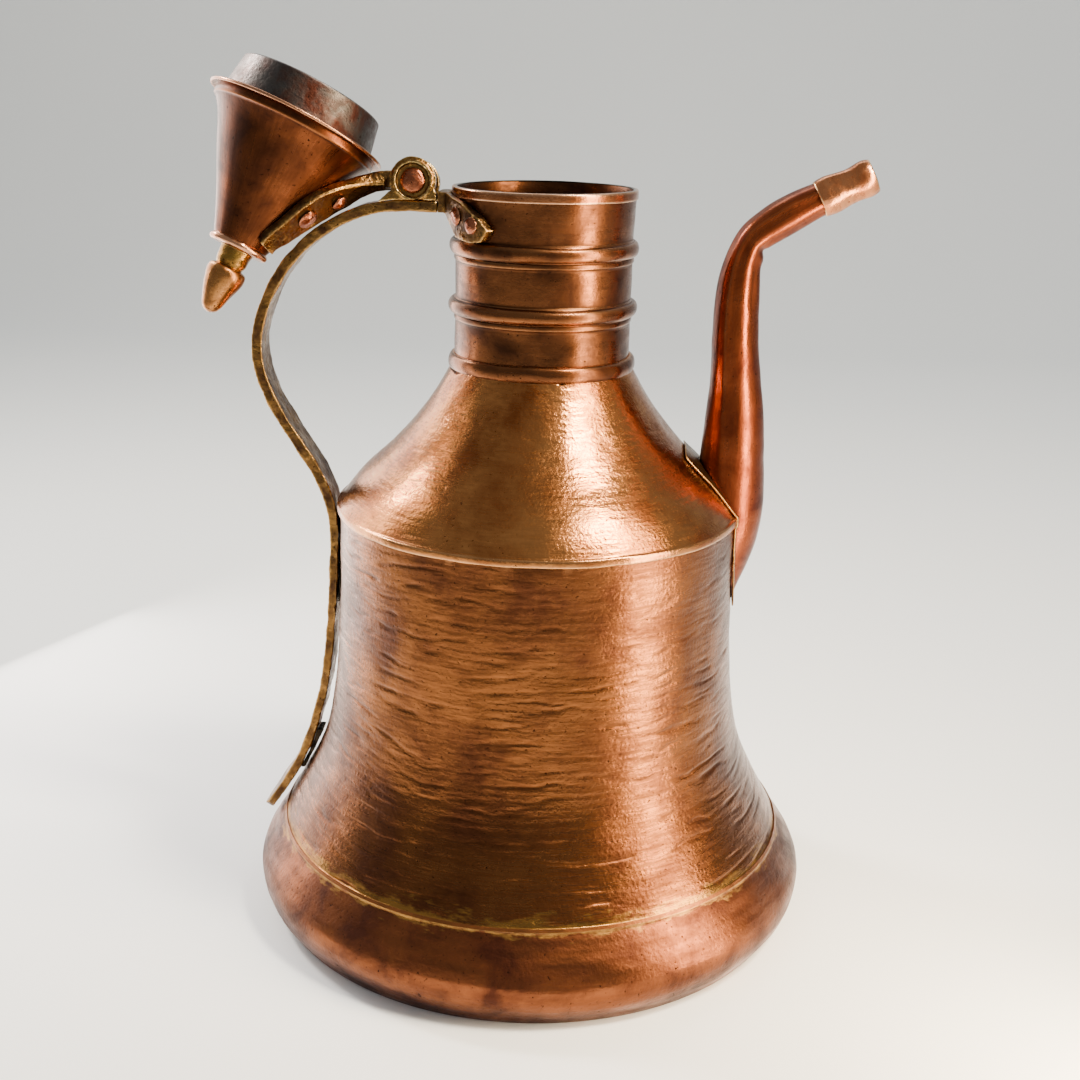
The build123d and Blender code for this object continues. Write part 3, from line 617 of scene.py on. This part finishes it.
def spout_shape(turn, run):
    """Six soft flats, sharper towards the top, and the folds inside the bend."""
    flats = (0.06 + 0.2 * np.clip((run - 90) / 80, 0, 1)) * np.cos(6 * (turn + 0.25))
    ridge = 0.4 * np.exp(-((((turn + radians(118) + pi) % tau - pi) / 0.13) ** 2)) * (run > 20)
    dents = 0.42 * uneven(turn, run, 14, 26, 55, SPOUT_GIRTH_MM)
    small = 0.13 * uneven(turn, run, 6, 7, 65, SPOUT_GIRTH_MM)
    inner = np.exp(-((turn / 0.9) ** 2))
    fold = -1.3 * np.exp(-(((run - 181) / 2.4) ** 2)) * inner
    swell = 0.7 * np.exp(-(((run - 175) / 4) ** 2)) * inner
    return flats + ridge + dents + small + fold + swell - 0.4


spout = bent_tube("spout", SPOUT_STATIONS, 1.6, 72, spout_shape, SPOUT_GIRTH_MM)
# Red-brown, with streaks that run up the tube.
spout_copper = aged_metal(
    "copper_seamed_red_brown", ("#1F0E0A", "#4E2216", "#8A4629", "#CC8A5A"), mottle=20,
    line=(3.2, 40), gloss=(0.24, 0.42), relief=0.18, lined=0.45)
finish_piece(spout, spout_copper, "ewer", "spout_copper", "spout_tube")

TIP_START = (125.6, 355.7)
TIP_LENGTH = 26.3
TIP_RISE = radians(25.9)
TIP_LEAN = 64.1
TIP_RADII = [(0.0, 8.7), (0.8, 8.9), (9.0, 8.8), (18.0, 8.5), (TIP_LENGTH - 0.8, 8.3), (TIP_LENGTH, 7.9)]
tip_stations = [
    (TIP_START[0] + s * cos(TIP_RISE), TIP_START[1] + s * sin(TIP_RISE), TIP_LEAN, r)
    for s, r in TIP_RADII
]


def tip_shape(turn, run):
    """A sleeve closed with a few blows of a hammer: soft flats and small dents."""
    flats = 0.22 * np.cos(5 * turn + 1) + 0.25 * uneven(turn, run, 9, 8, 56, 54)
    return flats + 0.10 * uneven(turn, run, 3, 3, 66, 54) - 0.45


tip_sleeve = bent_tube("spout_tip_sleeve", tip_stations, 1.5, 64, tip_shape, 54.0, step=0.45, skip=3)
# Newer and pinker than the tube, with yellow glints on its dents.
tip_copper = aged_metal(
    "copper_sleeve_bright", ("#4A2618", "#A0603C", "#C98458", "#FFD9A0"), mottle=7, line=(7, 3),
    gloss=(0.16, 0.32), relief=0.25, lined=0.35)
finish_piece(tip_sleeve, tip_copper, "ewer", "bright_copper", "spout_tip_collar")


def forged(name, node, grit, softened, lump, lump_mm, fine=0.0):
    """A forging or casting: the node's own solid with its corners worn round and its
    faces a little uneven.  grit is the size of its facets and lump_mm of its unevenness,
    lump and fine are how far it stands out, and metal lost to wear sinks it slightly."""
    worn_away = 0.3 * lump
    finer = 4.3
    piece = shown(name, frame["nodes"][node].data.copy())
    skin = piece.modifiers.new("skin", "REMESH")
    skin.mode = "VOXEL"
    skin.voxel_size = grit * MM
    wear = piece.modifiers.new("wear", "SMOOTH")
    wear.factor = 0.5
    wear.iterations = softened
    held = piece.evaluated_get(bpy.context.evaluated_depsgraph_get())
    mesh = bpy.data.meshes.new_from_object(held)
    mesh.name = name
    piece.modifiers.clear()
    piece.data = mesh
    count = len(mesh.vertices)
    points, normals = np.empty(count * 3, np.float32), np.empty(count * 3, np.float32)
    mesh.vertices.foreach_get("co", points)
    mesh.vertices.foreach_get("normal", normals)
    push = np.empty(count)
    for i, place in enumerate(points.reshape(-1, 3) / (lump_mm * MM)):
        spot = Vector(place.tolist())
        push[i] = lump * noise.noise(spot) + fine * noise.noise(spot * finer) - worn_away
    points = points.reshape(-1, 3) + normals.reshape(-1, 3) * push[:, None] * MM
    mesh.vertices.foreach_set("co", points.ravel().astype(np.float32))
    mesh.update()
    mesh.shade_smooth()
    return piece


saddle = forged("spout_saddle_plate", "spout_saddle", 0.55, 2, 0.15, 8)
# Grey-brown, with gold specks of braze.
saddle_copper = aged_metal(
    "copper_saddle_with_braze", ("#20140D", "#5C4028", "#84603A", "#A88450"), mottle=7, line=(9, 4),
    gloss=(0.22, 0.42), relief=0.3, lined=0.5, laid=False)
finish_piece(saddle, saddle_copper, "ewer", "spout_copper", "spout_saddle")

# The handle ---------------------------------------------------------------------------
# A flat brass bar forged to a question mark and soldered down the wall.  The skin is
# brown and pitted, with gold where hands have rubbed it.
# Brown skin, pits, and gold on the worn edges.
aged_brass = aged_metal(
    "brass_forged_olive", ("#160F0A", "#463020", "#7C5A30", "#DDB06A"), mottle=10, line=(12, 5),
    gloss=(0.22, 0.45), relief=0.5, lined=0.35, laid=False)
grip = forged("handle_bar", "handle_strap", 0.8, 3, 0.5, 9, 0.16)
finish_piece(grip, aged_brass, "ewer", "handle_brass", "handle_strap")
# Nearly black and matt.
black_solder = aged_metal(
    "solder_blackened", ("#120F0C", "#221C16", "#3A3127", "#6F6350"), mottle=8, line=(8, 4),
    gloss=(0.4, 0.65), relief=0.5, lined=0.5, laid=False)
for node in ("handle_solder_upper", "handle_solder_lower"):
    fillet = forged(node + "_fillet", node, 0.6, 3, 0.4, 5, 0.15)
    finish_piece(fillet, black_solder, "ewer", "solder", node)

# The yoke and the hinge ---------------------------------------------------------------
# Two brass leaves hug the neck and are riveted through it.  Behind them stand the two
# ears of the hinge, hammered round, with a copper pin headed over in their sinks.
yoke = forged("yoke_leaves", "neck_yoke", 0.5, 3, 0.35, 6, 0.12)
finish_piece(yoke, aged_brass, "ewer", "handle_brass", "neck_yoke")
# The same brass, handled more and so brighter.
rubbed_brass = aged_metal(
    "brass_forged_rubbed", ("#20150B", "#644424", "#A07840", "#F7D992"), mottle=7, line=(6, 3),
    gloss=(0.18, 0.36), relief=0.4, lined=0.3, laid=False)
for side in ("front", "rear"):
    ear = forged("hinge_ear_" + side, "hinge_cheek_" + side, 0.45, 3, 0.28, 4, 0.12)
    finish_piece(ear, rubbed_brass, "ewer", "handle_brass", "hinge_cheek_" + side)
# Pinkish heads with small hammer facets.
rivet_copper = aged_metal(
    "copper_rivet_hammered", ("#2A1510", "#74402C", "#9C5C40", "#E8A880"), mottle=5, line=(5, 3),
    gloss=(0.2, 0.38), relief=0.4, lined=0.25, laid=False)
pin = forged("hinge_pin_headed", "hinge_pin", 0.38, 2, 0.22, 3, 0.08)
finish_piece(pin, rivet_copper, "ewer", "rivet_copper", "hinge_pin")
yoke_rivets = forged("yoke_rivets_set", "yoke_rivets", 0.35, 2, 0.3, 2.6, 0.1)
finish_piece(yoke_rivets, rivet_copper, "ewer", "rivet_copper", "yoke_rivets")

# The lid ------------------------------------------------------------------------------
# A spun cone on a flat flange, with a tinned skirt that fits inside the mouth.  It is
# turned here as if shut, and then swung open on its hinge, where it rests.
LID_GIRTH_MM = 240.0
hinge = frame["joints"][0]
swing = Matrix.Rotation(radians(-hinge["range_deg"][1]), 4, Vector(hinge["axis"]))
pin_place = Matrix.Translation(Vector(hinge["pos_m"]))
opened = pin_place @ swing @ pin_place.inverted()


def lid_piece(piece, material, slot, *nodes):
    """Swings a piece drawn shut to where the lid rests, and finishes it."""
    piece.data.transform(opened)
    return finish_piece(piece, material, "lid", slot, *nodes)


CONE_LINE = [(38.5, 363.8), (35.6, 368.0), (30.0, 380.0), (23.2, 395.0), (16.9, 409.5), (13.0, 419.5)]
drum_outer = [(39.55, 359.6), (39.6, 360.4), (39.6, 361.6), (39.6, 362.7), (39.5, 363.3),
              (39.1, 363.7)]
cone_outer = np.vstack([drum_outer, flowing(CONE_LINE, 0.9)])


def cone_hammer(turn, run):
    dents = 0.18 * uneven(turn, run, 22, 40, 57, LID_GIRTH_MM)
    small = 0.05 * uneven(turn, run, 7, 16, 67, LID_GIRTH_MM)
    return (dents + small) * (run < 66)


LID_SHEET_MM = 1.1
cone_section = as_sheet(cone_outer, LID_SHEET_MM, 5)
cone = turned("lid_cone_spun", cone_section, 180, cone_hammer, girth=LID_GIRTH_MM)
# Dark brown, with soft streaks from base to tip.
lid_copper = aged_metal(
    "copper_spun_dark", ("#160C08", "#3C2014", "#6A3A20", "#C07A48"), mottle=22, line=(2.6, 50),
    gloss=(0.24, 0.38), relief=0.1, lined=0.35)
lid_piece(cone, lid_copper, "lid_copper", "lid_cone")

flange_edge = [(42.1 + 0.9 * sin(a), 359.2 - 0.9 * cos(a)) for a in np.radians(np.arange(0, 181, 20))]
flange_outline = np.array(
    [(35.4, 358.4), (37.0, 358.3), (39.0, 358.3), (41.0, 358.3)] + flange_edge[1:-1]
    + [(41.4, 359.8), (40.6, 359.5), (39.0, 359.5), (37.0, 359.5), (35.4, 359.4)])


def flange_hammer(turn, run):
    return (0.07 * uneven(turn, run, 14, 60, 58, LID_GIRTH_MM) - 0.07) * (run > 4)


def flange_wave(turn, run):
    return 0.3 * uneven(turn, run, 45, 60, 68, LID_GIRTH_MM) * (run > 2.5) * (run < 13)


flange = turned("lid_flange_wired", flange_outline, 180, flange_hammer, flange_wave, LID_GIRTH_MM)
# Brown with a bright rubbed edge.
flange_copper = aged_metal(
    "copper_flange_rubbed", ("#2E1810", "#6E4228", "#A06A48", "#F2B893"), mottle=12, line=(16, 1.5),
    gloss=(0.18, 0.34), relief=0.15, lined=0.3)
lid_piece(flange, flange_copper, "lid_copper", "lid_flange")

SKIRT_FOOT = [(33.3, 341.9), (33.7, 342.1), (33.85, 342.6)]
skirt_outer = np.array(SKIRT_FOOT + [(33.85 + 2.6 * i / 17, 342.6 + 0.91 * i) for i in range(1, 18)])
skirt = turned("lid_skirt_tinned", as_sheet(skirt_outer, LID_SHEET_MM, 3), 180,
               lambda turn, run: (0.15 * uneven(turn, run, 16, 12, 59, LID_GIRTH_MM)) * (run < 15),
               girth=LID_GIRTH_MM)
# Grey tin, worn through to red-brown in patches.
tinned_copper = aged_metal(
    "copper_hot_tinned", ("#120C0A", "#3A2019", "#4A4644", "#8C8A8C"), mottle=11, line=(8, 5),
    gloss=(0.3, 0.5), relief=0.3, lined=0.4)
lid_piece(skirt, tinned_copper, "tinned_copper", "lid_skirt")

TIP_Z = 419.5
cap_outline = np.array(
    [(10.8, TIP_Z), (12.6, TIP_Z - 0.1), (13.4, TIP_Z + 0.5), (14.0, TIP_Z + 1.3), (14.2, TIP_Z + 2.1),
     (13.9, TIP_Z + 2.9), (13.2, TIP_Z + 3.5), (12.0, TIP_Z + 3.6), (8.0, TIP_Z + 3.6), (2.6, TIP_Z + 3.6),
     (2.6, TIP_Z + 2.3), (10.8, TIP_Z + 2.2)])
CAP_GIRTH_MM = 84.0
cap = turned("lid_tip_hem", cap_outline, 120,
             lambda turn, run: 0.22 * uneven(turn, run, 4, 3, 78, 84) * (run > 1.5) * (run < 7),
             girth=CAP_GIRTH_MM)
lid_piece(cap, flange_copper, "lid_copper", "lid_tip_cap")

# The finial ---------------------------------------------------------------------------
# A brass ferrule and a copper acorn on a tang that is riveted over inside the cone.
STEM_Z = TIP_Z + 3.6
stem_outer = flowing([(7.9, STEM_Z), (7.3, STEM_Z + 3.0), (7.0, STEM_Z + 6.0), (6.2, STEM_Z + 8.6)], 0.4)
stem_outline = np.vstack([stem_outer, [(2.6, STEM_Z + 8.6), (2.6, STEM_Z)]])
stem = turned("finial_ferrule", stem_outline, 96,
              lambda turn, run: 0.25 * uneven(turn, run, 5, 3, 79, 46) * (run < 8.6), girth=46.0)
# Yellow against the copper on both sides of it.
stem_brass = aged_metal(
    "brass_ferrule", ("#2A1C0C", "#6E4E28", "#A07838", "#F0CC84"), mottle=5, line=(5, 2),
    gloss=(0.2, 0.36), relief=0.3, lined=0.3)
lid_piece(stem, stem_brass, "handle_brass", "finial_neck")

ACORN_Z = STEM_Z + 8.6
acorn_outer = flowing([(6.4, ACORN_Z), (8.6, ACORN_Z + 0.9), (9.4, ACORN_Z + 3.2), (8.9, ACORN_Z + 7.0),
                       (7.3, ACORN_Z + 12.5), (5.3, ACORN_Z + 18.0), (3.3, ACORN_Z + 21.6),
                       (1.2, ACORN_Z + 22.8)], 0.4)
acorn_outline = np.vstack([[(0.0, ACORN_Z)], [(3.0, ACORN_Z)], acorn_outer, [(0.0, ACORN_Z + 23.0)]])
acorn = turned("finial_acorn_turned", acorn_outline, 96,
               lambda turn, run: (0.35 * uneven(turn, run, 9, 7, 80, 58) - 0.2) * (run > 6.4) * (run < 31),
               girth=58.0)
# Smooth and warm, polished by the fingers that lift the lid.
acorn_copper = aged_metal(
    "copper_acorn", ("#3A2012", "#7E502C", "#B07844", "#F0C48A"), mottle=6, line=(3, 7),
    gloss=(0.2, 0.36), relief=0.25, lined=0.35)
lid_piece(acorn, acorn_copper, "bright_copper", "finial_acorn")
frame["nodes"]["finial_tang"].data.materials.clear()
frame["nodes"]["finial_tang"].data.materials.append(braze_brass)

# The lid's strap ----------------------------------------------------------------------
# A brass strap forged with the hinge's knuckle, riveted to the cone in two places.
lid_strap = forged("lid_strap_forged", "lid_strap", 0.5, 3, 0.35, 6, 0.12)
finish_piece(lid_strap, aged_brass, "lid", "handle_brass", "lid_strap")
lid_rivets = forged("lid_rivets_set", "lid_rivets", 0.35, 2, 0.3, 2.6, 0.1)
finish_piece(lid_rivets, rivet_copper, "lid", "rivet_copper", "lid_rivets")
